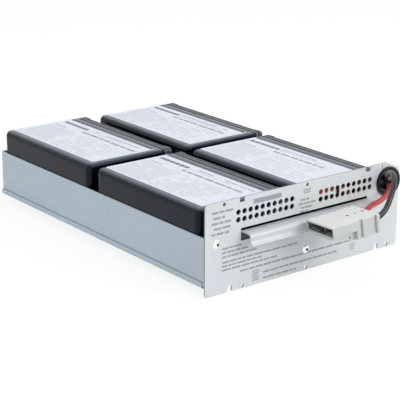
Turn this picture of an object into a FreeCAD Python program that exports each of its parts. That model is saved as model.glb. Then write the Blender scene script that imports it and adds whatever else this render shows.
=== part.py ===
import FreeCAD, Part
import math
import os

# Rack UPS battery cartridge: a folded steel tray with four sealed lead-acid batteries lying flat,
# a vented front panel with a pull lip, and a two-pole power connector on two short leads.
# Millimetres. X runs along the front panel, +Y runs back from it, +Z is up.
# The origin is on the panel's bottom edge level, under the middle of the cartridge without its leads.

Vector = FreeCAD.Vector

# ---------------------------------------------------------------- driving dimensions
panel_width = 223.2
panel_height = 81.0
panel_sheet = 1.2
tray_sheet = 1.2
tray_length = 333.0          # panel front face to the tray's rear face
lip_reach = 15.0             # how far the pull lip stands out in front of the panel
panel_front = lip_reach - (tray_length + lip_reach) / 2

tray_underside = 7.2         # the panel hangs this far below the tray
wall_top = 51.6
side_flange_height = 5.5
side_flange_start = 4.6      # the low side flanges stop short of the panel
fold_radius = 1.0            # inside radius of the folds in the sheet
lip_crown = 11.4             # the lip's profile: how far each point stands out, and how far it drops
lip_waist = (11.9, 6.6)
lip_edge = (14.56, 9.6)
lip_bends = (3.4, 4.6)
lip_end_relief = 2.0         # notch beside each end of the lip
rivet_tab_width = 20.0

corner_radius = 3.0
clipped_corner_width = 16.4
clipped_corner_height = 7.2
clip_radius = 1.0

vent_diameter = 4.8
vent_pitch = 6.57
vent_columns = 10
vent_row_heights = (61.8, 68.5)
vent_block_starts = (-76.5, 15.7)
tied_vent_column = 3         # in the right block

window_left = -73.5
window_right = 72.3
window_bottom = 42.9
window_top = 53.9
lip_end_gap = 0.6

top_hole_radius = 1.6
top_hole_height = 78.2
top_hole_places = (-91.5, -0.3, 88.4)
bottom_hole_radius = 1.75
bottom_hole_height = 2.6
bottom_hole_places = (-71.7, 0.2, 99.2)
top_notch_width = 5.2
top_notch_depth = 4.3
top_notch_places = (-72.5, 72.2)
u_notch_width = 5.5
u_notch_height = 6.3
u_notch_mouth_radius = 1.4
u_notch_places = (-85.5, 85.5)

rivet_places = ((-99.0, 45.1), (0.1, 19.3), (99.0, 45.1))
rivet_shank_radius = 1.9
rivet_hole_radius = 2.0
rivet_dome_radius = 3.9
rivet_dome_height = 1.6
rivet_core_radius = 1.35
rivet_core_depth = 3.4
rivet_bulb_radii = (2.4, 2.0)
rivet_bulb_length = 1.8

grommet_center = (97.1, 63.1)
grommet_flange_radius = 13.75
grommet_flange_height = 3.5
grommet_neck_radius = 10.4
grommet_hole_radius = 7.8
grommet_back_radius = 6.6    # the hole narrows towards the back
grommet_barb_radius = 11.0
grommet_depth = 3.0
grommet_bell = 1.6           # radius of the hole's rounded mouth
grommet_barb_step = 0.6
neck_clearance = 0.1

battery_length = 151.0
battery_thickness = 65.0
battery_height = 95.0        # bottom face to the lid's end blocks
case_height = 86.0
case_radius = 3.6
case_foot_radius = 5.4       # round the closed bottom
seam_height = 1.6
seam_depth = 1.6
lid_step = 90.0              # a shallow groove runs round the lid at this height
lid_step_width = 0.9
lid_step_depth = 0.5
lid_face = 93.6
lid_edge_radius = 1.2
end_block_length = 10.5
vent_cover_size = (78.0, 17.0)
vent_cover_height = 1.2
vent_cover_edge = 0.5
terminal_places = (18.5, 132.5)
terminal_level = 51.0
pocket_floor = 89.0
pocket_size = (15.0, 18.0)
pocket_radius = 2.5
tab_width = 6.35
tab_sheet = 0.8
tab_tip = 97.0
tab_foot = 5.0
tab_chamfer = 1.2
wire_level = 98.0            # wire centre, measured from a battery's bottom face
label_sheet = 0.25
label_start = 8.2
label_end = 79.5
label_margins = (6.0, 3.0)
label_corner = 2.0

battery_places = {
    1: (-108.9, 12.2),       # front left
    2: (-108.9, 175.4),      # rear left
    3: (-3.6, 9.0),          # front right
    4: (-1.1, 169.8),        # rear right
}
battery_floor = tray_underside + tray_sheet

lead_diameter = 5.0
tied_lead_depth = 4.3        # behind the panel's front face
tied_lead_level = 66.0
tie_sheet = 0.9
tie_width = 2.4
snug_gap = 0.05              # between a strap or a slot and what it holds
tie_bends = (0.8, 3.2)       # the strap's outer radii in front and behind
tie_inner_bends = (0.3, 2.4)
tie_head_half = 2.4
tie_head_depths = (2.2, 6.4)
tie_head_rise = 2.8
tie_head_root = 0.3
link_diameter = 4.0
sleeve_radius = 2.9
sleeve_length = 7.0
receptacle_half = 4.1        # half the length of a receptacle's body along its wire
receptacle_half_thickness = 2.0
receptacle_slot = 7.0        # how far a tab reaches into it
receptacle_clearance = 2.2   # above the pocket's floor
link_end_run = 6.0
link_bends = (5.5, 6.0)
link_step_bend = 20.0
link_clearance = 1.8         # between the rear link and the battery behind which it passes

# The connector's own frame: u from its mouth to its rear, v from its near side to its far side, w up.
connector_corner = (-19.9, -54.1, 56.7)
connector_turns = (-5.4, -5.2, -4.0)
connector_length = 50.0
connector_width = 37.4
connector_thickness = 16.2
hood_length = 24.0
hood_depth = 8.2
housing_corner = 2.0
housing_rim = 0.8
hood_wall = 1.3
partition_sheet = 1.6        # the wall between the two poles, set back in the hood
partition_recess = 5.0
grip_depth = 2.0             # depth of the grooves across both sides
grip_grooves = ((27.2, 31.0), (42.4, 46.0))
tongue_inset = 2.2           # the tongue under the hood is narrower on both sides
tongue_underside = ((0, -10.8), (2.5, -11.8), (20, -15.6), (25, -15.6))
latch_slot = (20.6, 24.6)
latch_slot_depth = 3.6
latch_pin = (17.8, -12.8)
latch_pin_radius = 1.1
latch_pin_length = 3.0
screw_holes = (29.2, 45.2)
screw_hole_radius = 1.7
dimple_place = 37.2
dimple_radius = 1.2
pole_places = (9.5, 27.9)
pole_level = -8.0
bore_radius = 4.0
bore_flare = 0.9
bore_flare_length = 1.6
bore_start = 33.0
spring_half_width = 4.6      # the flat channel in front of each bore
spring_levels = (-8.2, -6.1)
contact_line = ((2.6, -7.75), (5.6, -6.6), (9.6, -7.2))
contact_bends = (3.0, 4.0)
contact_sheet = 0.9
contact_width = 8.4
barrel_radius = 3.7
barrel_clearance = 0.3
lead_seat = 43.0

overrun = 1.0                # how far cutters and hidden joints run past a face


# ---------------------------------------------------------------- helpers
def at_panel(x, y, z):
    """A point given from the panel's middle, its front face and its bottom edge."""
    return Vector(x, panel_front + y, z)


def box(x_range, y_range, z_range):
    size = (x_range[1] - x_range[0], y_range[1] - y_range[0], z_range[1] - z_range[0])
    return Part.makeBox(size[0], size[1], size[2], Vector(x_range[0], y_range[0], z_range[0]))


def drill(x, z, radius, depth_range):
    """A cylinder along Y, with its depth range counted from the panel's front face."""
    start = at_panel(x, depth_range[0], z)
    return Part.makeCylinder(radius, depth_range[1] - depth_range[0], start, Vector(0, 1, 0))


def rounded_path(points, radii):
    """A wire of straight runs joined by tangent arcs, one radius for each inner point."""
    edges = []
    start = points[0]
    for corner, following, radius in zip(points[1:-1], points[2:], radii):
        arriving = (corner - start).normalize()
        leaving = (following - corner).normalize()
        turn = arriving.getAngle(leaving)
        reach = radius * math.tan(turn / 2)
        arc_start = corner - arriving * reach
        arc_end = corner + leaving * reach
        middle_way = (leaving - arriving).normalize()
        middle = corner + middle_way * (radius / math.cos(turn / 2) - radius)
        edges.append(Part.LineSegment(start, arc_start).toShape())
        edges.append(Part.Arc(arc_start, middle, arc_end).toShape())
        start = arc_end
    edges.append(Part.LineSegment(start, points[-1]).toShape())
    return Part.Wire(edges)


def tube(path, diameter):
    """A solid round tube swept along a path."""
    start = path.Edges[0].valueAt(path.Edges[0].FirstParameter)
    heading = path.Edges[0].tangentAt(path.Edges[0].FirstParameter)
    ring = Part.Wire([Part.Circle(start, heading, diameter / 2).toShape()])
    swept = path.makePipeShell([ring], True, False)
    return swept if swept.Volume > 0 else swept.reversed()


def free_radii(points):
    """The largest tangent arcs that the runs of a free cord allow."""
    radii = []
    for before, corner, after in zip(points, points[1:], points[2:]):
        shorter = min((corner - before).Length, (after - corner).Length)
        turn = (corner - before).getAngle(after - corner)
        radii.append(0.45 * shorter / math.tan(turn / 2))
    return radii


def folded_sheet(points, sheet, extrusion):
    """A strip of sheet whose middle line follows the points, folded at each of them."""
    bend = fold_radius + sheet / 2
    line = rounded_path(points, [bend] * (len(points) - 2))
    return thick_line(line, sheet, extrusion)


def thick_line(line, sheet, extrusion):
    """A strip of the given thickness laid evenly about an open wire, extruded."""
    one_side = line.makeOffset2D(sheet / 2, 0, False, True, False)
    other_side = line.makeOffset2D(-sheet / 2, 0, False, True, False)
    first = one_side.OrderedVertexes
    second = other_side.OrderedVertexes
    start_cap = Part.LineSegment(first[0].Point, second[0].Point).toShape()
    end_cap = Part.LineSegment(first[-1].Point, second[-1].Point).toShape()
    outline = Part.Wire(Part.__sortEdges__(one_side.Edges + other_side.Edges + [start_cap, end_cap]))
    return Part.Face(outline).extrude(extrusion)


def rounded_block(length, width, height, radius):
    """A block along +X with its four long edges rounded; width is along Y, height along Z."""
    block = Part.makeBox(length, width, height)
    long_edges = [edge for edge in block.Edges if abs(edge.tangentAt(edge.FirstParameter).x) > 0.99]
    return block.makeFillet(radius, long_edges)


def edges_at_x(shape, x):
    return [edge for edge in shape.Edges
            if abs(edge.BoundBox.XMin - x) < 0.01 and abs(edge.BoundBox.XMax - x) < 0.01]


# ---------------------------------------------------------------- sheet metal
def base_pan():
    """Bottom, low side and rear flanges, full-height front wall and its rolled pull lip: one sheet."""
    half = tray_sheet / 2
    outer = panel_width / 2
    floor = tray_underside + half
    wall_y = panel_front + panel_sheet + half
    rear_y = panel_front + tray_length - half
    flange_top = tray_underside + side_flange_height
    fold = fold_radius + tray_sheet

    run = [Vector(0, rear_y, flange_top), Vector(0, rear_y, floor),
           Vector(0, wall_y, floor), Vector(0, wall_y, wall_top - fold)]
    middle_width = panel_width - 2 * fold
    body = folded_sheet(run, tray_sheet, Vector(middle_width, 0, 0))
    body.translate(Vector(-middle_width / 2, 0, 0))

    cross = [Vector(-outer + half, 0, flange_top), Vector(-outer + half, 0, floor),
             Vector(outer - half, 0, floor), Vector(outer - half, 0, flange_top)]
    flange_length = tray_length - side_flange_start - fold
    flanges = folded_sheet(cross, tray_sheet, Vector(0, flange_length, 0))
    flanges.translate(Vector(0, panel_front + side_flange_start, 0))

    wall_crown = box((-middle_width / 2, middle_width / 2), (wall_y - half, wall_y + half),
                     (wall_top - fold - overrun, wall_top))
    lip_left = window_left + lip_end_gap
    lip_right = window_right - lip_end_gap
    beside_lip = lip_end_relief
    lip_gap = box((lip_left - beside_lip, lip_right + beside_lip), (wall_y - tray_sheet, wall_y + tray_sheet),
                  (wall_top - fold, wall_top + overrun))
    wall_crown = wall_crown.cut(lip_gap)

    pan = body.fuse([flanges, wall_crown, pull_lip(lip_left, lip_right, wall_y)])
    for x, z in rivet_places:
        pan = pan.cut(drill(x, z, rivet_hole_radius, (0, fold_radius + 4 * tray_sheet)))
    return pan.removeSplitter()


def pull_lip(lip_left, lip_right, wall_y):
    """The lip rolled forward from the front wall's top, down and then out to a soft finger edge."""
    half = tray_sheet / 2
    top = wall_top - half
    line = rounded_path(
        [Vector(0, wall_y, top - lip_edge[1]), Vector(0, wall_y, top), at_panel(0, -lip_crown, top),
         at_panel(0, -lip_waist[0], top - lip_waist[1]), at_panel(0, -lip_edge[0], top - lip_edge[1])],
        [fold_radius + half, *lip_bends])
    lip = thick_line(line, tray_sheet, Vector(lip_right - lip_left, 0, 0))
    lip.translate(Vector(lip_left, 0, 0))
    return lip


def side_wall():
    """One band folded round the left side, the rear and the right side, with riveting tabs in front."""
    half = tray_sheet / 2
    side_x = panel_width / 2 - tray_sheet - half
    tab_y = panel_front + panel_sheet + tray_sheet + half
    rear_y = panel_front + tray_length - tray_sheet - half
    tab_x = side_x - rivet_tab_width
    level = tray_underside + tray_sheet + fold_radius
    run = [Vector(-tab_x, tab_y, level), Vector(-side_x, tab_y, level), Vector(-side_x, rear_y, level),
           Vector(side_x, rear_y, level), Vector(side_x, tab_y, level), Vector(tab_x, tab_y, level)]
    band = folded_sheet(run, tray_sheet, Vector(0, 0, wall_top - level))
    for x, z in rivet_places:
        band = band.cut(drill(x, z, rivet_hole_radius, (0, fold_radius + 4 * tray_sheet)))
    return band


def front_panel():
    """The flat panel, with its clipped corner, notches, vents, window and cable hole."""
    half = panel_width / 2
    clip_x = half - clipped_corner_width
    clip_z = panel_height - clipped_corner_height
    outline = [Vector(-half, 0, 0), Vector(-half, 0, panel_height), Vector(clip_x, 0, panel_height),
               Vector(half, 0, clip_z), Vector(half, 0, 0)]
    middle_of_base = Vector(0, 0, 0)
    radii = [corner_radius, corner_radius, clip_radius, clip_radius, corner_radius]
    rim = rounded_path([middle_of_base] + outline + [middle_of_base], radii)
    panel = Part.Face(rim).extrude(Vector(0, panel_sheet, 0))
    panel.translate(Vector(0, panel_front, 0))

    through = (-overrun, panel_sheet + overrun)
    cutters = [drill(x, top_hole_height, top_hole_radius, through) for x in top_hole_places]
    cutters += [drill(x, bottom_hole_height, bottom_hole_radius, through) for x in bottom_hole_places]
    cutters += [drill(x, z, rivet_hole_radius, through) for x, z in rivet_places]
    for start in vent_block_starts:
        for column in range(vent_columns):
            for level in vent_row_heights:
                cutters.append(drill(start + column * vent_pitch, level, vent_diameter / 2, through))
    cutters.append(drill(grommet_center[0], grommet_center[1], grommet_neck_radius + neck_clearance, through))
    y_range = (panel_front - overrun, panel_front + panel_sheet + overrun)
    cutters.append(box((window_left, window_right), y_range, (window_bottom, window_top)))
    for x in top_notch_places:
        cutters.append(box((x - top_notch_width / 2, x + top_notch_width / 2), y_range,
                           (panel_height - top_notch_depth, panel_height + overrun)))
    cutters += [u_notch(x) for x in u_notch_places]
    return panel.cut(cutters)


def u_notch(x):
    """A round-topped notch in the bottom edge, with its mouth flared by two arcs."""
    radius = u_notch_width / 2
    mouth = u_notch_mouth_radius
    spring = u_notch_height - radius
    curve = math.sqrt(0.5) * mouth
    points = {
        "left_foot": Vector(x - radius - mouth, 0, 0),
        "left_bend": Vector(x - radius - mouth + curve, 0, mouth - curve),
        "left_side": Vector(x - radius, 0, mouth),
        "left_spring": Vector(x - radius, 0, spring),
        "crown": Vector(x, 0, u_notch_height),
        "right_spring": Vector(x + radius, 0, spring),
        "right_side": Vector(x + radius, 0, mouth),
        "right_bend": Vector(x + radius + mouth - curve, 0, mouth - curve),
        "right_foot": Vector(x + radius + mouth, 0, 0),
    }
    below = Vector(0, 0, -overrun)
    edges = [
        Part.Arc(points["left_foot"], points["left_bend"], points["left_side"]).toShape(),
        Part.LineSegment(points["left_side"], points["left_spring"]).toShape(),
        Part.Arc(points["left_spring"], points["crown"], points["right_spring"]).toShape(),
        Part.LineSegment(points["right_spring"], points["right_side"]).toShape(),
        Part.Arc(points["right_side"], points["right_bend"], points["right_foot"]).toShape(),
        Part.LineSegment(points["right_foot"], points["right_foot"] + below).toShape(),
        Part.LineSegment(points["right_foot"] + below, points["left_foot"] + below).toShape(),
        Part.LineSegment(points["left_foot"] + below, points["left_foot"]).toShape(),
    ]
    notch = Part.Face(Part.Wire(edges)).extrude(Vector(0, panel_sheet + 2 * overrun, 0))
    notch.translate(Vector(0, panel_front - overrun, 0))
    return notch


def panel_rivets():
    """Domed blind rivets through the panel and the tray, with their drawn mandrel holes."""
    rivets = []
    for x, z in rivet_places:
        layers = panel_sheet + tray_sheet
        if abs(x) > rivet_tab_width:
            layers += tray_sheet
        sphere_radius = spherical_cap_radius()
        dome = Part.makeSphere(sphere_radius, Vector(0, sphere_radius, 0))
        reach = (-sphere_radius, sphere_radius)
        cap = box(reach, (0, rivet_dome_height), reach)
        dome = dome.common(cap)
        dome.translate(Vector(0, -rivet_dome_height, 0))
        shank = Part.makeCylinder(rivet_shank_radius, layers, Vector(0, 0, 0), Vector(0, 1, 0))
        bulb = Part.makeCone(*rivet_bulb_radii, rivet_bulb_length, Vector(0, layers, 0), Vector(0, 1, 0))
        core = Part.makeCylinder(rivet_core_radius, rivet_core_depth, Vector(0, -rivet_dome_height, 0),
                                 Vector(0, 1, 0))
        rivet = dome.fuse([shank, bulb]).cut(core)
        rivet.translate(at_panel(x, 0, z))
        rivets.append(rivet)
    return Part.makeCompound(rivets)


def spherical_cap_radius():
    return (rivet_dome_radius ** 2 + rivet_dome_height ** 2) / (2 * rivet_dome_height)


def grommet():
    """A snap bushing: a rolled flange in front, a neck through the panel and barbs behind it."""
    front = -grommet_flange_height
    back = grommet_depth
    roll = grommet_flange_height / 2
    flange = grommet_flange_radius
    neck = grommet_neck_radius
    bell = grommet_bell
    bell_rim = grommet_hole_radius + bell
    short = 1 - math.sqrt(0.5)
    mouth = Vector(grommet_hole_radius, front + bell, 0)
    mouth_bend = Vector(grommet_hole_radius + bell * short, front + bell * short, 0)
    rim_bend = Vector(flange - roll * short, front + roll * short, 0)
    corners = [Vector(flange, front + roll, 0), Vector(flange, 0, 0), Vector(neck, 0, 0),
               Vector(neck, panel_sheet, 0), Vector(grommet_barb_radius, panel_sheet + neck_clearance, 0),
               Vector(neck - grommet_barb_step, back, 0), Vector(grommet_back_radius, back, 0), mouth]
    edges = [Part.Arc(mouth, mouth_bend, Vector(bell_rim, front, 0)),
             Part.LineSegment(Vector(bell_rim, front, 0), Vector(flange - roll, front, 0)),
             Part.Arc(Vector(flange - roll, front, 0), rim_bend, corners[0])]
    edges += [Part.LineSegment(start, end) for start, end in zip(corners, corners[1:])]
    profile = Part.Face(Part.Wire([edge.toShape() for edge in edges]))
    ring = profile.revolve(Vector(0, 0, 0), Vector(0, 1, 0), 360)
    ring.translate(at_panel(grommet_center[0], 0, grommet_center[1]))
    return ring


# ---------------------------------------------------------------- batteries
def battery_case():
    """A moulded jar lying on its broad side, its closed bottom at x = 0 and a narrow rim under the lid."""
    jar = rounded_block(case_height - seam_height, battery_length, battery_thickness, case_radius)
    jar = jar.makeFillet(case_foot_radius, edges_at_x(jar, 0))
    rim = rounded_block(seam_height, battery_length - 2 * seam_depth, battery_thickness - 2 * seam_depth,
                        case_radius - seam_depth)
    rim.translate(Vector(case_height - seam_height, seam_depth, seam_depth))
    return jar.fuse(rim)


def battery_lid():
    """The lid: a shallow cap with a raised block at each end and a pocket for each terminal."""
    plate = rounded_block(lid_face - case_height, battery_length, battery_thickness, case_radius)
    plate.translate(Vector(case_height, 0, 0))
    plate = plate.makeFillet(lid_edge_radius, edges_at_x(plate, lid_face))
    full = rounded_block(battery_height - case_height, battery_length, battery_thickness, case_radius)
    full.translate(Vector(case_height, 0, 0))
    full = full.makeFillet(lid_edge_radius, edges_at_x(full, battery_height))
    ends = box((case_height, battery_height), (0, end_block_length), (0, battery_thickness))
    far_end = ends.translated(Vector(0, battery_length - end_block_length, 0))
    lid = plate.fuse([full.common(ends), full.common(far_end)])
    for y in terminal_places:
        pocket = rounded_block(battery_height - pocket_floor, *pocket_size, pocket_radius)
        pocket.translate(Vector(pocket_floor, y - pocket_size[0] / 2, terminal_level - pocket_size[1] / 2))
        lid = lid.cut(pocket)
    return lid.cut(lid_groove()).removeSplitter()


def lid_groove():
    """The ring of material that is missing where the lid steps round its sides."""
    depth = lid_step_depth
    outside = box((0, lid_step_width), (-overrun, battery_length + overrun),
                  (-overrun, battery_thickness + overrun))
    inside = rounded_block(lid_step_width, battery_length - 2 * depth, battery_thickness - 2 * depth,
                           case_radius - depth)
    inside.translate(Vector(0, depth, depth))
    return outside.cut(inside).translated(Vector(lid_step, 0, 0))


def battery_vent_cover():
    """The thin cover welded over the vent valves, between the two terminals."""
    width, height = vent_cover_size
    cover = rounded_block(vent_cover_height, width, height, pocket_radius)
    cover = cover.makeFillet(vent_cover_edge, edges_at_x(cover, vent_cover_height))
    cover.translate(Vector(lid_face, (battery_length - width) / 2, (battery_thickness - height) / 2))
    return cover


def battery_terminals():
    """Two flat push-on tabs, each folded up from a foot on its pocket's floor."""
    tabs = []
    for y in terminal_places:
        foot = box((pocket_floor, pocket_floor + tab_sheet), (y - tab_width / 2, y + tab_width / 2),
                   (terminal_level - tab_foot, terminal_level + tab_sheet))
        blade = box((pocket_floor, tab_tip), (y - tab_width / 2, y + tab_width / 2),
                    (terminal_level, terminal_level + tab_sheet))
        tip_edges = [edge for edge in blade.Edges
                     if edge.BoundBox.XMin > tab_tip - 0.01 and edge.BoundBox.YLength < 0.01]
        tabs.append(foot.fuse(blade.makeChamfer(tab_chamfer, tip_edges)).removeSplitter())
    return Part.makeCompound(tabs)


def battery_label():
    """The printed film on the battery's upper broad face."""
    width = battery_length - sum(label_margins)
    film = Part.makeBox(label_end - label_start, width, label_sheet)
    upright = [edge for edge in film.Edges if abs(edge.tangentAt(edge.FirstParameter).z) > 0.99]
    film = film.makeFillet(label_corner, upright)
    film.translate(Vector(label_start, label_margins[0], battery_thickness))
    return film


def battery_origin(number):
    x, y = battery_places[number]
    return Vector(x, panel_front + y, battery_floor)


# ---------------------------------------------------------------- wiring
def terminal_point(number, terminal):
    """The centre of a wire where it joins a terminal's receptacle."""
    local = Vector(wire_level, terminal_places[terminal], terminal_level + tab_sheet / 2)
    return battery_origin(number) + local


def receptacle(number, terminal, heading):
    """A flag receptacle on a tab: an insulated body and a sleeve that points along +Y or -Y."""
    middle = terminal_point(number, terminal)
    base = battery_origin(number).x + pocket_floor + receptacle_clearance
    along_wire = (middle.y - receptacle_half, middle.y + receptacle_half)
    levels = (middle.z - receptacle_half_thickness, middle.z + receptacle_half_thickness)
    body = box((base, middle.x + sleeve_radius), along_wire, levels)
    half_width = tab_width / 2 + snug_gap
    half_sheet = tab_sheet / 2 + snug_gap
    slot = box((base - overrun, base + receptacle_slot), (middle.y - half_width, middle.y + half_width),
               (middle.z - half_sheet, middle.z + half_sheet))
    sleeve = Part.makeCylinder(sleeve_radius, sleeve_length, middle + Vector(0, heading * receptacle_half, 0),
                               Vector(0, heading, 0))
    crown = Part.makeCylinder(sleeve_radius, 2 * receptacle_half, middle - Vector(0, receptacle_half, 0),
                              Vector(0, 1, 0))
    return body.fuse([sleeve, crown]).cut(slot).removeSplitter()


def sleeve_mouth(number, terminal, heading):
    return terminal_point(number, terminal) + Vector(0, heading * (receptacle_half + sleeve_length), 0)


receptacle_headings = {
    (1, 0): -1, (1, 1): 1,
    (2, 0): -1, (2, 1): 1,
    (3, 0): -1, (3, 1): 1,
    (4, 0): -1, (4, 1): 1,
}


def left_link():
    """Front left battery to rear left battery, straight along the middle gap."""
    ends = [sleeve_mouth(1, 1, 1), sleeve_mouth(2, 0, -1)]
    return tube(Part.Wire([Part.LineSegment(ends[0], ends[1]).toShape()]), link_diameter)


def right_link():
    """Front right battery to rear right battery, with a slight sideways step."""
    start = sleeve_mouth(3, 1, 1)
    end = sleeve_mouth(4, 0, -1)
    run = Vector(0, link_end_run, 0)
    points = [start, start + run, end - run, end]
    return tube(rounded_path(points, [link_step_bend] * 2), link_diameter)


def rear_link():
    """Rear left battery to rear right battery, round the back of the right one."""
    start = sleeve_mouth(2, 1, 1)
    end = sleeve_mouth(4, 1, 1)
    behind = panel_front + battery_places[4][1] + battery_length + link_diameter / 2 + link_clearance
    points = [start, Vector(start.x, behind, start.z), Vector(end.x, behind, end.z), end]
    return tube(rounded_path(points, link_bends), link_diameter)


# Routes of the two leads, from the panel's middle, front face and bottom edge.
red_exit = (95.5, -4.0, 60.0)
black_exit = (92.7, -4.0, 66.3)
red_route = [red_exit, (92.4, -8.1, 59.5), (85.0, -14.1, 58.1), (70.8, -20.9, 55.4),
             (50.0, -25.9, 54.9)]
black_route = [black_exit, (89.8, -8.6, 68.6), (82.4, -13.9, 74.8), (77.8, -24.1, 81.0),
               (73.6, -34.1, 80.7), (63.4, -44.1, 73.0)]
red_inner_route = [(98.6, 6.0, 59.3), (78.0, 5.9, 54.4), (60.0, 5.0, 54.4), (48.0, tied_lead_depth, 62.6),
                   (41.0, tied_lead_depth, tied_lead_level), (14.0, tied_lead_depth, tied_lead_level),
                   (-4.0, 5.0, 61.0), (-9.5, 8.4, 59.0)]
red_inner_bends = (7.0, 4.6, 30, 22, 30, 16, 20, 8.0, 6.0, 6.0)
red_grommet_run = 1.7        # how far each lead keeps its heading inside the grommet
red_end_run = 5.2
black_grommet_run = 2.5
black_over_red = Vector(0.8, -7.1, 6.7)    # the black inner lead's bend, from its terminal
black_end_run = 4.0
black_inner_bends = (5.0, 5.0, 4.6)
red_standoff = 6.0           # straight length outside the connector
black_standoff = 10.0


def connector_point(u, v, w):
    return connector_placement().multVec(Vector(u, v, w))


def connector_placement():
    corner = at_panel(connector_corner[0], connector_corner[1], connector_corner[2])
    return FreeCAD.Placement(corner, FreeCAD.Rotation(*connector_turns))


def lead_points(route, pole, standoff):
    """A free lead's points: its chosen route, then straight into the connector's bore."""
    points = [at_panel(*place) for place in route]
    points.append(connector_point(connector_length + standoff, pole, pole_level))
    points.append(connector_point(lead_seat, pole, pole_level))
    return points


def free_lead(name, route, pole, standoff):
    points = lead_points(route, pole, standoff)
    radii = free_radii(points)
    path = rounded_path(points, radii)
    lead = tube(path, lead_diameter)
    section = math.pi * lead_diameter ** 2 / 4
    print(name, "length", round(path.Length, 1), "radii", [round(radius, 1) for radius in radii],
          "volume ratio", round(lead.Volume / (section * path.Length), 4))
    return lead


def heading_in(route):
    """The direction in which a free lead enters the grommet."""
    return (at_panel(*route[0]) - at_panel(*route[1])).normalize()


def red_inner_lead():
    """From the grommet, low along the back of the panel, up to its tie and on to the front left battery."""
    start = at_panel(*red_exit)
    in_grommet = start + heading_in(red_route) * red_grommet_run
    end = sleeve_mouth(1, 0, -1)
    points = [start, in_grommet] + [at_panel(*place) for place in red_inner_route]
    points += [end - Vector(0, red_end_run, 0), end]
    return tube(rounded_path(points, red_inner_bends), lead_diameter)


def black_inner_lead():
    """From the grommet, over the red lead and down to the front right battery's front terminal."""
    start = at_panel(*black_exit)
    in_grommet = start + heading_in(black_route) * black_grommet_run
    end = sleeve_mouth(3, 0, -1)
    points = [start, in_grommet, end + black_over_red, end - Vector(0, black_end_run, 0), end]
    return tube(rounded_path(points, black_inner_bends), lead_diameter)


def cable_tie():
    """A strap through two vents that holds the red lead against the panel, with its head above."""
    x = vent_block_starts[1] + tied_vent_column * vent_pitch
    inner_half = lead_diameter / 2 + snug_gap
    front = panel_front - tie_sheet - 2 * snug_gap
    back = panel_front + tied_lead_depth + inner_half + tie_sheet
    inner_z_range = (tied_lead_level - inner_half, tied_lead_level + inner_half)
    z_range = (inner_z_range[0] - tie_sheet, inner_z_range[1] + tie_sheet)
    x_range = (x - tie_width / 2, x + tie_width / 2)
    wide_x_range = (x_range[0] - overrun, x_range[1] + overrun)
    loop = rounded_in_x(x_range, (front, back), z_range, *tie_bends)
    hollow = rounded_in_x(wide_x_range, (front + tie_sheet, back - tie_sheet), inner_z_range,
                          *tie_inner_bends)
    head = box((x - tie_head_half, x + tie_head_half),
               (panel_front + tie_head_depths[0], panel_front + tie_head_depths[1]),
               (z_range[1] - tie_head_root, z_range[1] + tie_head_rise))
    return loop.cut(hollow).fuse(head).removeSplitter()


def rounded_in_x(x_range, y_range, z_range, front_radius, back_radius):
    """A bar along X with its front and back long edges rounded by different radii."""
    bar = box(x_range, y_range, z_range)
    along = [edge for edge in bar.Edges if abs(edge.tangentAt(edge.FirstParameter).x) > 0.99]
    front_edges = [edge for edge in along if edge.BoundBox.YMax < sum(y_range) / 2]
    bar = bar.makeFillet(front_radius, front_edges)
    along = [edge for edge in bar.Edges if edge.BoundBox.YMin > y_range[1] - 0.01
             and edge.BoundBox.XLength > x_range[1] - x_range[0] - 0.01 and edge.BoundBox.ZLength < 0.01]
    return bar.makeFillet(back_radius, along)


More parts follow.
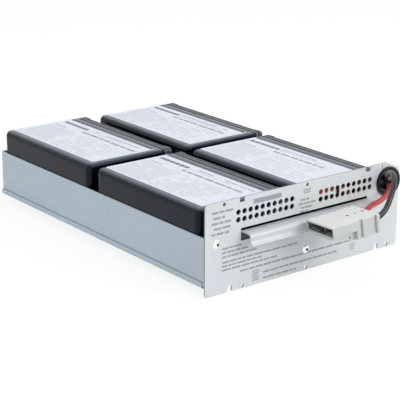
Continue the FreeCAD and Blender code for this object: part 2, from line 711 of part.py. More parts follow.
# ---------------------------------------------------------------- connector
def connector_housing():
    """A flat two-pole housing: hooded mouth over a tapered tongue, grip grooves and wire bores."""
    length, width, thickness = connector_length, connector_width, connector_thickness
    rear = Part.makeBox(length - hood_length, width, thickness, Vector(hood_length, 0, -thickness))
    hood = Part.makeBox(hood_length, width, hood_depth, Vector(0, 0, -hood_depth))
    shell = rear.fuse(hood).removeSplitter()
    upright = [edge for edge in shell.Edges
               if abs(edge.tangentAt(edge.FirstParameter).z) > 0.99 and edge.BoundBox.XMin > length - 0.01]
    shell = shell.makeFillet(housing_corner, upright)
    top_rim = [edge for edge in shell.Edges if edge.BoundBox.ZMin > -0.01]
    shell = shell.makeFillet(housing_rim, top_rim)

    outline = [Vector(0, 0, -hood_depth)]
    outline += [Vector(u, 0, w) for u, w in tongue_underside]
    outline += [Vector(tongue_underside[-1][0], 0, -hood_depth), outline[0]]
    tongue = Part.Face(Part.makePolygon(outline)).extrude(Vector(0, width - 2 * tongue_inset, 0))
    tongue.translate(Vector(0, tongue_inset, 0))

    hood_inside = (-hood_depth - 0.01, -hood_wall)
    near_side = (width - partition_sheet) / 2
    far_side = (width + partition_sheet) / 2
    cutters = [box((-overrun, partition_recess), (hood_wall, width - hood_wall), hood_inside)]
    for v_range in ((hood_wall, near_side), (far_side, width - hood_wall)):
        cutters.append(box((0, hood_length), v_range, hood_inside))
    for v_range in both_sides(latch_slot_depth):
        cutters.append(box(latch_slot, v_range, (-thickness - overrun, -hood_depth)))
    for v_range in both_sides(grip_depth):
        for groove in grip_grooves:
            cutters.append(box(groove, v_range, (-thickness - overrun, overrun)))
    for v in (tongue_inset, width - tongue_inset):
        pin = Vector(latch_pin[0], v - latch_pin_length / 2, latch_pin[1])
        cutters.append(Part.makeCylinder(latch_pin_radius, latch_pin_length, pin, Vector(0, 1, 0)))
    for u in screw_holes:
        below = Vector(u, width / 2, -thickness - overrun)
        cutters.append(Part.makeCylinder(screw_hole_radius, thickness + 2 * overrun, below))
    dimple = Vector(dimple_place, width / 2, -overrun)
    cutters.append(Part.makeCylinder(dimple_radius, 2 * overrun, dimple))
    for pole in pole_places:
        seat = Vector(bore_start, pole, pole_level)
        cutters.append(Part.makeCylinder(bore_radius, length, seat, Vector(1, 0, 0)))
        flare = Vector(length - bore_flare_length, pole, pole_level)
        cutters.append(Part.makeCone(bore_radius, bore_radius + bore_flare, bore_flare_length, flare,
                                     Vector(1, 0, 0)))
        channel = (pole - spring_half_width, pole + spring_half_width)
        cutters.append(box((hood_length - overrun, bore_start + overrun / 2), channel, spring_levels))
    housing = shell.fuse(tongue).cut(cutters)
    housing.Placement = connector_placement()
    return housing


def both_sides(depth):
    """The two ranges across the connector that reach the given depth in from its sides."""
    return ((-overrun, depth), (connector_width - depth, connector_width + overrun))


def connector_contacts():
    """Two flat contacts on the tongue, each running back to a crimp barrel round its wire."""
    contacts = []
    for pole in pole_places:
        front_part = [Vector(u, 0, w) for u, w in contact_line]
        heel = Vector(bore_start + barrel_clearance + 0.1, 0, contact_line[-1][1])
        blade = thick_line(rounded_path(front_part + [heel], contact_bends), contact_sheet,
                           Vector(0, contact_width, 0))
        blade.translate(Vector(0, pole - contact_width / 2, 0))
        barrel_start = Vector(bore_start + barrel_clearance, pole, pole_level)
        barrel = Part.makeCylinder(barrel_radius, lead_seat - barrel_start.x, barrel_start, Vector(1, 0, 0))
        contact = blade.fuse(barrel)
        contact.Placement = connector_placement()
        contacts.append(contact)
    return Part.makeCompound(contacts)


# ---------------------------------------------------------------- build
def build():
    shapes = {
        "base_pan": base_pan(),
        "side_wall": side_wall(),
        "front_panel": front_panel(),
        "panel_rivets": panel_rivets(),
        "grommet": grommet(),
    }
    battery_parts = {
        "case": battery_case(),
        "lid": battery_lid(),
        "vent_cover": battery_vent_cover(),
        "terminals": battery_terminals(),
        "label": battery_label(),
    }
    for number in battery_places:
        for name, shape in battery_parts.items():
            shapes["battery_%d_%s" % (number, name)] = shape.translated(battery_origin(number))
    shapes["terminal_receptacles"] = Part.makeCompound(
        [receptacle(number, terminal, heading)
         for (number, terminal), heading in receptacle_headings.items()])
    shapes["left_link_wire"] = left_link()
    shapes["right_link_wire"] = right_link()
    shapes["rear_link_wire"] = rear_link()
    shapes["red_inner_lead"] = red_inner_lead()
    shapes["black_inner_lead"] = black_inner_lead()
    shapes["cable_tie"] = cable_tie()
    shapes["connector_housing"] = connector_housing()
    shapes["connector_contacts"] = connector_contacts()
    shapes["red_lead"] = free_lead("red_lead", red_route, pole_places[1], red_standoff)
    shapes["black_lead"] = free_lead("black_lead", black_route, pole_places[0], black_standoff)
    return shapes


os.makedirs("parts", exist_ok=True)
for name, shape in build().items():
    shape.exportStep("parts/%s.step" % name)
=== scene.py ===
import math

import bmesh
import bpy
from mathutils import Matrix, Vector


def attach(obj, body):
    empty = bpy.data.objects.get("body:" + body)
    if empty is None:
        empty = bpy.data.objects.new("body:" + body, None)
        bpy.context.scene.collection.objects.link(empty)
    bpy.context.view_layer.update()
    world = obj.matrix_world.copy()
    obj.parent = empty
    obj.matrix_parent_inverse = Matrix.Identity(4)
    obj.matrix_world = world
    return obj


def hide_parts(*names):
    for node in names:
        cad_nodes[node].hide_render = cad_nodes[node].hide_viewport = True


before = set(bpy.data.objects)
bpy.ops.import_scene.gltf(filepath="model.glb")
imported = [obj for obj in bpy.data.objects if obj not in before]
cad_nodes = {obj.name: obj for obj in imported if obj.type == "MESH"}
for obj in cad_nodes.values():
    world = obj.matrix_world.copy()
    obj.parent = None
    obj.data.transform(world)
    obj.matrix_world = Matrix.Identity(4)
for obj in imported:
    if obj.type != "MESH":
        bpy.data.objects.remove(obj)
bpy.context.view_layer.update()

# Control points of the two free leads, from the bushing to the connector.
LEAD_DIAMETER = 0.005
RED_ROUTE = [
    (0.0955, -0.1630, 0.0600), (0.0920, -0.1671, 0.0595), (0.0848, -0.1731, 0.0580),
    (0.0698, -0.1799, 0.0554), (0.0480, -0.1852, 0.0552), (0.03908, -0.19128, 0.05189),
    (0.0262, -0.19006, 0.05071),
]
BLACK_ROUTE = [
    (0.0927, -0.1630, 0.0663), (0.0896, -0.1676, 0.0686), (0.0818, -0.1729, 0.0748),
    (0.0764, -0.1831, 0.0810), (0.0704, -0.1931, 0.0805), (0.0594, -0.2031, 0.0725),
    (0.04121, -0.20992, 0.05353), (0.02435, -0.20832, 0.05199),
]

PANEL_FACE = -0.159          # the panel's front face, along Y
RIVET_PLACES = ((-0.0990, 0.0451), (0.0001, 0.0193), (0.0990, 0.0451))     # X and Z
BUSHING_CENTRE = (0.0971, 0.0631)                                          # X and Z
FLANGE_TOP = 0.0127          # the pan's low side flanges
LABEL_FACE = 0.07365         # the labels' upper face
CONNECTOR_CORNER = (-0.0199, -0.2131, 0.0567)   # near upper corner of its mouth
CONNECTOR_TURN = Matrix(((0.991465, 0.100173, -0.083446), (-0.093721, 0.992542, 0.077955),
                         (0.090633, -0.069469, 0.993458)))
BATTERY_CORNERS = {          # front left corner of each battery, with its closed end on the left
    "front_left": (-0.1089, -0.1468), "rear_left": (-0.1089, 0.0164),
    "front_right": (-0.0036, -0.1500), "rear_right": (-0.0011, 0.0108),
}


# ---------------------------------------------------------------- nodes
def feed(tree, socket, value):
    """Gives a socket a link from another one, or a plain value."""
    if isinstance(value, bpy.types.NodeSocket):
        tree.links.new(value, socket)
    else:
        socket.default_value = value


def add_node(tree, kind, inputs=()):
    """A new node, with the named or numbered inputs fed."""
    node = tree.nodes.new(kind)
    for key, value in dict(inputs).items():
        feed(tree, node.inputs[key], value)
    return node


def worked(tree, operation, *values):
    """The result of one sum, whose values are sockets or plain numbers."""
    node = tree.nodes.new("ShaderNodeMath")
    node.operation = operation
    for socket, value in zip(node.inputs, values):
        feed(tree, socket, value)
    return node.outputs[0]


def run_between(tree, value, low, high, from_low, from_high):
    """Runs from low to high as the value goes from from_low to from_high, and stays there."""
    node = add_node(tree, "ShaderNodeMapRange", {
        "Value": value, "From Min": from_low, "From Max": from_high, "To Min": low, "To Max": high})
    return node.outputs["Result"]


# ---------------------------------------------------------------- camera, light and floor
CAMERA_PLACE = (-0.75808, -0.98434, 0.42598)
CAMERA_HEADING, CAMERA_DIP, CAMERA_ROLL = 38.205, 17.8, 0.309     # degrees
CAMERA_LENS, SENSOR_WIDTH = 122.9, 36.0                           # millimetres
CAMERA_SHIFT = (-0.0205, -0.00986)
LAMPS = {                    # place, target, diameter and power in watts
    "key": ((0.55, -1.5, 0.95), (0, -0.1, 0.04), 1.0, 12),
    "overhead": ((0.1, 0.3, 1.6), (0, 0, 0.05), 1.6, 3.5),
}
SKY_COLOUR, SKY_STRENGTH = (0.93, 0.965, 1.0, 1), 0.66
WHITE = (1, 1, 1, 1)
FLOOR_REACH = 6.0
PAPER_COLOUR = (0.86, 0.87, 0.88, 1)
FLOOR_GLOW = 1.07            # strength of the open floor's own white
FLOOR_GLOW_SHARE = 0.8       # and how much of it shows over the lit paper
SHADE_EDGES = (              # axis, where the open floor ends, where the tray's full shadow starts
    ("sideways", 0.094, 0.084), ("Y", -0.136, -0.126), ("Y", 0.168, 0.160),
)


def add_camera():
    lens_data = bpy.data.cameras.new("camera")
    lens_data.sensor_width = SENSOR_WIDTH
    lens_data.lens = CAMERA_LENS
    lens_data.shift_x, lens_data.shift_y = CAMERA_SHIFT
    camera = bpy.data.objects.new("camera", lens_data)
    camera.location = CAMERA_PLACE
    heading, dip, roll = (math.radians(turn) for turn in (CAMERA_HEADING, CAMERA_DIP, CAMERA_ROLL))
    forward = Vector((math.sin(heading) * math.cos(dip), math.cos(heading) * math.cos(dip),
                      -math.sin(dip)))
    level_right = forward.cross(Vector((0, 0, 1))).normalized()
    level_up = level_right.cross(forward)
    right = level_right * math.cos(roll) + level_up * math.sin(roll)
    up = level_up * math.cos(roll) - level_right * math.sin(roll)
    camera.rotation_euler = Matrix((right, up, -forward)).transposed().to_euler()
    bpy.context.scene.collection.objects.link(camera)
    bpy.context.scene.camera = camera


def add_lamp(name, place, target, diameter, power):
    """A round soft lamp that faces its target."""
    lamp_data = bpy.data.lights.new(name, "AREA")
    lamp_data.shape = "DISK"
    lamp_data.size = diameter
    lamp_data.energy = power
    lamp = bpy.data.objects.new(name, lamp_data)
    lamp.location = place
    lamp.rotation_euler = (Vector(target) - lamp.location).to_track_quat("-Z", "Y").to_euler()
    bpy.context.scene.collection.objects.link(lamp)


def seen_share(tree, share):
    """How much of a surface's plain white shows: to the camera, and in metal and glass."""
    rays = tree.nodes.new("ShaderNodeLightPath").outputs
    seen = worked(tree, "MAXIMUM", rays["Is Camera Ray"], rays["Is Glossy Ray"])
    seen = worked(tree, "MAXIMUM", seen, rays["Is Transmission Ray"])
    return worked(tree, "MULTIPLY", seen, share)


def mixed_shader(tree, share, shader, other, output):
    """Ends a tree in a shader that turns into another one where the share is 1."""
    mix = add_node(tree, "ShaderNodeMixShader", {0: share, 1: shader, 2: other})
    tree.links.new(mix.outputs[0], tree.nodes[output].inputs["Surface"])


def add_world():
    """A pale blue sky that lights the object, and plain white where it is seen or reflected."""
    world = bpy.data.worlds.new("studio")
    world.use_nodes = True
    tree = world.node_tree
    sky = tree.nodes["Background"]
    sky.inputs["Color"].default_value = SKY_COLOUR
    sky.inputs["Strength"].default_value = SKY_STRENGTH
    white = add_node(tree, "ShaderNodeBackground", {"Color": WHITE, "Strength": 1.0})
    mixed_shader(tree, seen_share(tree, 1.0), sky.outputs[0], white.outputs[0], "World Output")
    bpy.context.scene.world = world


def outside_footprint(tree):
    """1 on the open floor and 0 under the tray, where the floor keeps its full shadow."""
    coordinates = tree.nodes.new("ShaderNodeTexCoord")
    place = add_node(tree, "ShaderNodeSeparateXYZ", {0: coordinates.outputs["Object"]}).outputs
    values = {"sideways": worked(tree, "ABSOLUTE", place["X"]), "Y": place["Y"]}
    under = 1.0
    for axis, open_end, shadow_start in SHADE_EDGES:
        side = run_between(tree, values[axis], 0.0, 1.0, open_end, shadow_start)
        under = worked(tree, "MULTIPLY", under, side)
    return worked(tree, "SUBTRACT", 1.0, under)


def add_floor():
    """A pale paper floor, white in the open and shaded under the tray."""
    mesh = bpy.data.meshes.new("floor")
    mesh.from_pydata([(x * FLOOR_REACH, y * FLOOR_REACH, 0)
                      for x, y in ((-1, -1), (1, -1), (1, 1), (-1, 1))], [], [(0, 1, 2, 3)])
    floor = bpy.data.objects.new("floor", mesh)
    bpy.context.scene.collection.objects.link(floor)
    material = bpy.data.materials.new("floor")
    material.use_nodes = True
    tree = material.node_tree
    paper = tree.nodes["Principled BSDF"]
    paper.inputs["Base Color"].default_value = PAPER_COLOUR
    paper.inputs["Roughness"].default_value = 0.9
    glow = add_node(tree, "ShaderNodeEmission", {"Strength": FLOOR_GLOW})
    open_floor = worked(tree, "MULTIPLY", seen_share(tree, FLOOR_GLOW_SHARE),
                        outside_footprint(tree))
    mixed_shader(tree, open_floor, paper.outputs[0], glow.outputs[0], "Material Output")
    mesh.materials.append(material)


def add_studio():
    bpy.context.scene.view_settings.view_transform = "Standard"
    add_world()
    for name, (place, target, diameter, power) in LAMPS.items():
        add_lamp(name, place, target, diameter, power)
    add_floor()


# ---------------------------------------------------------------- materials
NOISE_LOW, NOISE_HIGH = 0.3, 0.7     # most of a noise pattern lies between these
ZINC_TONES = {"dark": (0.50, 0.577, 0.636), "light": (0.558, 0.64, 0.695)}
# painted shade on the inner red lead, near its terminal end and in the bushing
LEAD_SHADE_BLACK = (0.012, 0.012, 0.014)
PAN_SHADE_BLOCK = {               # painted shade behind the panel: low end, high end and soft edge
    "Y": (PANEL_FACE + 0.0008, PANEL_FACE + 0.0100, 0.0004), "Z": (0.0400, 0.0600, 0.0004),
}
CONNECTOR_MOUTH_SHADE = {          # painted shade inside the connector's mouth, given the same way, in its own frame from its corner
    "X": (0.0006, 0.0230, 0.0010), "Y": (0.00115, 0.03625, 0.0001),
    "Z": (-0.0084, -0.00115, 0.0001),
}
MOULDED = {                  # plain mouldings and insulations
    "black_plastic": {
        "dark": (0.004, 0.004, 0.006), "light": (0.008, 0.007, 0.010),
        "roughness": 0.2, "specular": 0.3, "bump": 0.03, "sheen_tint": (0.86, 0.84, 1.0)},
    "lid_plastic": {
        "dark": (0.066, 0.072, 0.080), "light": (0.096, 0.103, 0.113),
        "roughness": 0.38, "specular": 0.3, "bump": 0.1},
    "red_insulation": {
        "dark": (0.44, 0.050, 0.043), "light": (0.54, 0.066, 0.056),
        "roughness": 0.26, "specular": 0.45, "grain": 900, "bump": 0.05},
    "black_insulation": {
        "dark": (0.011, 0.010, 0.014), "light": (0.020, 0.018, 0.024),
        "roughness": 0.26, "specular": 0.45, "grain": 900, "bump": 0.05},
    "bushing_inside": {
        "dark": (0.004, 0.004, 0.005), "light": (0.008, 0.008, 0.010),
        "roughness": 0.8, "specular": 0.08, "bump": 0.1},
    # the mandrel stubs: near-black as painted shade of each rivet's hollow core
    "rivet_stub": {
        "dark": (0.012, 0.012, 0.012), "light": (0.02, 0.02, 0.02),
        "roughness": 0.5, "specular": 0.3},
}
INKS = {                     # dark and light tone
    "panel_ink": ((0.31, 0.315, 0.32), (0.38, 0.385, 0.39)),
    "label_ink": ((0.13, 0.14, 0.17), (0.20, 0.21, 0.25)),
    "soft_ink": ((0.34, 0.36, 0.41), (0.42, 0.44, 0.49)),
    # the next two are not print: painted reflection and painted shade along each label's lid-side
    # edge
    "painted_rim_sheen": ((0.115, 0.14, 0.185), (0.15, 0.18, 0.23)),
    "painted_rim_shade": ((0.03, 0.035, 0.045), (0.045, 0.05, 0.062)),
    "faint_ink": ((0.60, 0.62, 0.69), (0.67, 0.69, 0.76)),
}


class Finish:
    """A material with a Principled shader, and short calls for its procedural detail."""

    def __init__(self, name, roughness, metallic=0.0, specular=0.5):
        self.material = bpy.data.materials.new(name)
        self.material.use_nodes = True
        self.tree = self.material.node_tree
        self.shader = self.tree.nodes["Principled BSDF"]
        self.shader.inputs["Roughness"].default_value = roughness
        self.shader.inputs["Metallic"].default_value = metallic
        self.shader.inputs["Specular IOR Level"].default_value = specular
        self.position = self.tree.nodes.new("ShaderNodeTexCoord").outputs["Object"]

    def noise(self, scale, detail=3.0, stretch=(1, 1, 1)):
        stretched = add_node(self.tree, "ShaderNodeMapping",
                             {"Vector": self.position, "Scale": stretch})
        texture = add_node(self.tree, "ShaderNodeTexNoise", {
            "Vector": stretched.outputs["Vector"], "Scale": scale, "Detail": detail})
        return texture.outputs["Fac"]

    def spangle(self, scale):
        """Zinc's crystals: one random shade for each cell."""
        cells = add_node(self.tree, "ShaderNodeTexVoronoi",
                         {"Vector": self.position, "Scale": scale})
        shades = add_node(self.tree, "ShaderNodeSeparateColor", {0: cells.outputs["Color"]})
        return shades.outputs[0]

    def along(self, axis):
        return add_node(self.tree, "ShaderNodeSeparateXYZ", {0: self.position}).outputs[axis]

    def past(self, axis, start, end):
        """0 before the start and 1 past the end, along an axis."""
        return run_between(self.tree, self.along(axis), 0.0, 1.0, start, end)

    def before(self, axis, start, end):
        """1 before the start and 0 past the end, along an axis."""
        return run_between(self.tree, self.along(axis), 1.0, 0.0, start, end)

    def both(self, share, other):
        return worked(self.tree, "MULTIPLY", share, other)

    def within(self, axis, low, high, soft):
        """1 between two places along an axis, 0 outside them."""
        return self.both(self.past(axis, low, low + soft), self.before(axis, high - soft, high))

    def inside(self, block):
        """1 inside a block, given by each axis's low end, high end and soft edge."""
        share = 1.0
        for axis, limits in block.items():
            share = self.both(share, self.within(axis, *limits))
        return share

    def spread(self, pattern, low, high):
        """A pattern's middle part, spread from low to high."""
        return run_between(self.tree, pattern, low, high, NOISE_LOW, NOISE_HIGH)

    def tones(self, pattern, dark, light):
        """A pattern's middle part as a run of colours."""
        ramp = add_node(self.tree, "ShaderNodeValToRGB", {"Fac": pattern})
        for stop, place, tone in zip(ramp.color_ramp.elements, (NOISE_LOW, NOISE_HIGH),
                                     (dark, light)):
            stop.position = place
            stop.color = (*tone, 1)
        return ramp.outputs["Color"]

    def mixed(self, share, colour, other):
        """A colour that turns into another fixed one where the share is 1."""
        mix = add_node(self.tree, "ShaderNodeMix", {0: share})
        mix.data_type = "RGBA"
        colours = {socket.name: socket for socket in mix.inputs if socket.type == "RGBA"}
        feed(self.tree, colours["A"], colour)
        feed(self.tree, colours["B"], (*other, 1))
        return next(socket for socket in mix.outputs if socket.type == "RGBA")

    def paint(self, colour):
        feed(self.tree, self.shader.inputs["Base Color"], colour)

    def rough(self, pattern, low, high):
        feed(self.tree, self.shader.inputs["Roughness"], self.spread(pattern, low, high))

    def bump(self, pattern, strength, distance):
        bump = add_node(self.tree, "ShaderNodeBump",
                        {"Height": pattern, "Strength": strength, "Distance": distance})
        feed(self.tree, self.shader.inputs["Normal"], bump.outputs["Normal"])


def zinc_sheet():
    """Zinc-plated sheet, with a line of painted shade along the top of the pan's low flange."""
    finish = Finish("zinc_sheet", roughness=0.42, metallic=0.2)
    plain = finish.tones(finish.noise(22, 4, stretch=(1, 0.25, 1)), **ZINC_TONES)
    # Painted shade: a dark line just above the low flange's top, where the gap's shadow falls.
    flange_shade = finish.within("Z", FLANGE_TOP - 0.0004, FLANGE_TOP + 0.0009, soft=0.0003)
    flange_shade_grey = (0.35, 0.42, 0.48)
    finish.paint(finish.mixed(flange_shade, plain, flange_shade_grey))
    finish.rough(finish.spangle(260), 0.36, 0.5)
    finish.bump(finish.noise(900, 3, stretch=(1, 0.08, 1)), strength=0.12, distance=0.0002)
    return finish.material


def pan_sheet():
    """The zinc sheet again, with painted light that makes its lip paler and painted shade behind
    the window beside it.
    """
    finish = Finish("pan_sheet", roughness=0.42, metallic=0.2)
    plain = finish.tones(finish.noise(22, 4, stretch=(1, 0.25, 1)), **ZINC_TONES)
    # Painted light: the lip faces the light, so it is painted paler than the rest of the sheet.
    lip = finish.before("Y", PANEL_FACE + 0.001, PANEL_FACE + 0.004)
    lip_light_grey, recess_shade_grey = (0.62, 0.635, 0.645), (0.055, 0.065, 0.065)
    lit_lip = finish.mixed(lip, plain, lip_light_grey)
    # Painted shade: behind the panel and left of the lip, where the window looks into the dark
    # inside.
    left_of_lip = finish.before("X", -0.0600, -0.0590)
    recess = finish.both(left_of_lip, finish.inside(PAN_SHADE_BLOCK))
    finish.paint(finish.mixed(recess, lit_lip, recess_shade_grey))
    finish.rough(finish.spangle(260), 0.36, 0.5)
    finish.bump(finish.noise(900, 3, stretch=(0.08, 1, 1)), strength=0.1, distance=0.0002)
    return finish.material


def panel_sheet():
    """Pale sheet whose cut edges show bare metal behind the painted face, darkened further with
    painted shade.
    """
    finish = Finish("panel_sheet", roughness=0.45, metallic=0.05)
    painted = finish.tones(finish.noise(18, 4), dark=(0.668, 0.69, 0.69),
                           light=(0.725, 0.745, 0.745))
    # The cut edges are bare metal, with painted shade that makes them darker still.
    cut_edge = finish.within("Y", PANEL_FACE + 0.0001, PANEL_FACE + 0.0011, soft=0.00008)
    bare_and_shade_grey = (0.16, 0.17, 0.18)
    finish.paint(finish.mixed(cut_edge, painted, bare_and_shade_grey))
    finish.rough(finish.noise(60, 3), 0.38, 0.52)
    finish.bump(finish.noise(1400, 2), strength=0.1, distance=0.0001)
    return finish.material


def rivet_metal():
    """Bright plated rivet domes."""
    finish = Finish("rivet_metal", roughness=0.2, metallic=0.9)
    finish.paint(finish.tones(finish.noise(500, 2), dark=(0.90, 0.90, 0.90),
                              light=(0.96, 0.96, 0.96)))
    finish.rough(finish.noise(900, 2), 0.14, 0.28)
    return finish.material


def case_plastic():
    """Near-black glossy jar plastic, with a painted blue-grey reflection round its top edge."""
    finish = Finish("case_plastic", roughness=0.16, specular=0.24)
    finish.shader.inputs["Specular Tint"].default_value = (0.74, 0.86, 1.0, 1)
    plain = finish.tones(finish.noise(35, 4), dark=(0.002, 0.003, 0.006),
                         light=(0.004, 0.006, 0.010))
    # Painted reflection: a paler blue-grey band round the top edge, where the gloss catches the
    # light.
    top_edge = finish.past("Z", 0.0716, 0.0732)
    patchy = finish.spread(finish.noise(55, 3), 0.75, 1.0)
    painted_sheen_blue = (0.125, 0.150, 0.185)
    finish.paint(finish.mixed(finish.both(top_edge, patchy), plain, painted_sheen_blue))
    finish.rough(finish.noise(120, 3), 0.10, 0.24)
    finish.bump(finish.noise(2600, 2), strength=0.02, distance=0.0001)
    return finish.material


def connector_plastic():
    """Grey nylon, with painted light on its top skin and painted shade inside the mouth."""
    finish = Finish("connector_plastic", roughness=0.42, specular=0.45)
    plain = finish.tones(finish.noise(35, 4), dark=(0.54, 0.545, 0.535), light=(0.60, 0.605, 0.59))
    placed = add_node(finish.tree, "ShaderNodeMapping", {
        "Vector": finish.position, "Location": CONNECTOR_CORNER,
        "Rotation": CONNECTOR_TURN.to_euler()})
    placed.vector_type = "TEXTURE"
    object_position, finish.position = finish.position, placed.outputs["Vector"]
    # Painted shade inside the mouth, in the connector's own frame.
    mouth = finish.inside(CONNECTOR_MOUTH_SHADE)
    # Painted light: the top skin faces the light, so it is painted paler.
    top_skin = finish.within("Z", -0.00025, 0.0020, soft=0.0003)
    finish.position = object_position
    top_light_grey, mouth_shade_grey = (0.86, 0.86, 0.835), (0.185, 0.20, 0.185)
    finish.paint(finish.mixed(mouth, finish.mixed(top_skin, plain, top_light_grey), mouth_shade_grey))
    finish.rough(finish.noise(120, 3), 0.36, 0.5)
    finish.bump(finish.noise(2600, 2), strength=0.2, distance=0.0001)
    return finish.material


def moulded(name, dark, light, roughness, specular, grain=2600, bump=0.2, sheen_tint=None):
    """A plain moulding with slightly uneven tone and gloss."""
    finish = Finish(name, roughness, specular=specular)
    if sheen_tint:
        finish.shader.inputs["Specular Tint"].default_value = (*sheen_tint, 1)
    finish.paint(finish.tones(finish.noise(35, 4), dark, light))
    finish.rough(finish.noise(120, 3), roughness - 0.06, roughness + 0.08)
    finish.bump(finish.noise(grain, 2), strength=bump, distance=0.0001)
    return finish.material


def inner_red_insulation():
    """Red insulation, painted black as shade near its terminal end and where it lies in the
    bushing's shade.
    """
    finish = Finish("inner_red_insulation", roughness=0.38, specular=0.4)
    red = finish.tones(finish.noise(35, 4), dark=(0.36, 0.016, 0.012), light=(0.46, 0.024, 0.018))
    # Painted shade: black near the terminal end and where the lead is in the bushing's shade.
    terminal_end_shade = finish.before("X", 0.0060, 0.0064)
    bushing_shade = finish.past("X", 0.0840, 0.0860)
    finish.paint(finish.mixed(bushing_shade, finish.mixed(terminal_end_shade, red, LEAD_SHADE_BLACK), LEAD_SHADE_BLACK))
    finish.rough(finish.noise(120, 3), 0.3, 0.44)
    return finish.material


def ink(name, dark, light):
    """Matt printing ink."""
    finish = Finish(name, roughness=0.55)
    finish.paint(finish.tones(finish.noise(900, 2), dark, light))
    finish.rough(finish.noise(300, 2), 0.5, 0.62)
    return finish.material


def label_film():
    """Blue-white label film, slightly wavy on its adhesive."""
    finish = Finish("label_film", roughness=0.38)
    finish.paint(finish.tones(finish.noise(26, 3), dark=(0.79, 0.82, 0.905),
                              light=(0.84, 0.87, 0.95)))
    finish.rough(finish.noise(90, 2), 0.3, 0.44)
    finish.bump(finish.noise(70, 2), strength=0.15, distance=0.0003)
    return finish.material


def tin_plate():
    """Tinned terminals and contacts, brushed along Y."""
    finish = Finish("tin_plate", roughness=0.3, metallic=0.9)
    finish.paint(finish.tones(finish.noise(300, 3), dark=(0.62, 0.61, 0.58),
                              light=(0.78, 0.77, 0.74)))
    finish.rough(finish.noise(700, 3, stretch=(1, 0.1, 1)), 0.22, 0.42)
    return finish.material


def clear_sleeve():
    """Milky sleeves over the push-on receptacles."""
    finish = Finish("clear_sleeve", roughness=0.3)
    finish.paint(finish.tones(finish.noise(200, 2), dark=(0.60, 0.60, 0.57),
                              light=(0.72, 0.72, 0.69)))
    finish.shader.inputs["Transmission Weight"].default_value = 0.25
    finish.rough(finish.noise(300, 2), 0.22, 0.36)
    return finish.material


def make_finishes():
    made = {
        "zinc_sheet": zinc_sheet(), "pan_sheet": pan_sheet(), "panel_sheet": panel_sheet(),
        "rivet_metal": rivet_metal(), "case_plastic": case_plastic(), "label_film": label_film(),
        "tin_plate": tin_plate(), "inner_red_insulation": inner_red_insulation(),
        "clear_sleeve": clear_sleeve(), "connector_plastic": connector_plastic(),
    }
    made.update((name, moulded(name, **look)) for name, look in MOULDED.items())
    made.update((name, ink(name, *tones)) for name, tones in INKS.items())
    return made


# ---------------------------------------------------------------- growing pieces
def begin_tree(name, sizes):
    """A new Geometry Nodes tree with its named inputs, and the sockets that give them."""
    tree = bpy.data.node_groups.new(name, "GeometryNodeTree")
    for title, (kind, value) in sizes.items():
        item = tree.interface.new_socket(title, in_out="INPUT", socket_type="NodeSocket" + kind)
        if value is not None:
            item.default_value = value
    tree.interface.new_socket("Geometry", in_out="OUTPUT", socket_type="NodeSocketGeometry")
    return tree, tree.nodes.new("NodeGroupInput").outputs


def end_tree(tree, instances, material):
    """Makes a tree's instances real, gives them their material and hands them out."""
    real = add_node(tree, "GeometryNodeRealizeInstances", {"Geometry": instances})
    finished = add_node(tree, "GeometryNodeSetMaterial", {
        "Geometry": real.outputs["Geometry"], "Material": material})
    add_node(tree, "NodeGroupOutput", {"Geometry": finished.outputs["Geometry"]})
    return tree


def vector(tree, **parts):
    """A vector from its X, Y and Z, each a socket or a number, and 0 where not given."""
    return add_node(tree, "ShaderNodeCombineXYZ", parts).outputs[0]


def socket_id(tree, name):
    """The identifier of one of a tree's named inputs."""
    for item in tree.interface.items_tree:
        if item.item_type == "SOCKET" and item.in_out == "INPUT" and item.name == name:
            return item.identifier
    raise KeyError(name)


def grow(tree, sizes, name):
    """The plain mesh that a tree makes from the given sizes."""
    holder = bpy.data.objects.new(name, bpy.data.meshes.new(name))
    bpy.context.scene.collection.objects.link(holder)
    modifier = holder.modifiers.new(name, "NODES")
    modifier.node_group = tree
    for key, value in sizes.items():
        modifier[socket_id(tree, key)] = value
    evaluated = holder.evaluated_get(bpy.context.evaluated_depsgraph_get())
    mesh = bpy.data.meshes.new_from_object(evaluated)
    bpy.data.objects.remove(holder)
    return mesh


def add_piece(name, mesh):
    """A rigid piece of the scene, from a mesh that is already in its place."""
    piece = bpy.data.objects.new(name, mesh)
    bpy.context.scene.collection.objects.link(piece)
    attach(piece, "root")


# ---------------------------------------------------------------- print
PRINT_FILM = 0.0001          # thickness of the print, half of it above the surface
CORNER_SHARE = 0.18          # a bar's corner radius, as a share of its height
GAP_SHARE = 0.55             # the usual gap between two bars, as a share of their height
TOUCHING = 0.000001          # points nearer than this are one point


def thin_bar(tree, given):
    """The longest bar: a closed film with rounded corners, from X = 0."""
    outline = add_node(tree, "GeometryNodeCurvePrimitiveQuadrilateral", {
        "Width": given["Longest Bar"], "Height": given["Bar Height"]})
    rounded = add_node(tree, "GeometryNodeFilletCurve", {
        "Curve": outline.outputs["Curve"],
        "Radius": worked(tree, "MULTIPLY", given["Bar Height"], CORNER_SHARE)})
    filled = add_node(tree, "GeometryNodeFillCurve", {"Curve": rounded.outputs["Curve"]})
    filled.mode = "NGONS"
    raised = add_node(tree, "GeometryNodeExtrudeMesh", {
        "Mesh": filled.outputs["Mesh"], "Offset Scale": given["Film"]})
    underside = add_node(tree, "GeometryNodeFlipFaces", {"Mesh": filled.outputs["Mesh"]})
    joined = tree.nodes.new("GeometryNodeJoinGeometry")
    for part in (raised, underside):
        tree.links.new(part.outputs["Mesh"], joined.inputs[0])
    closed = add_node(tree, "GeometryNodeMergeByDistance", {
        "Geometry": joined.outputs[0], "Distance": TOUCHING})
    half_length = worked(tree, "MULTIPLY", given["Longest Bar"], 0.5)
    started = add_node(tree, "GeometryNodeTransform", {
        "Geometry": closed.outputs[0], "Translation": vector(tree, X=half_length)})
    return started.outputs["Geometry"]


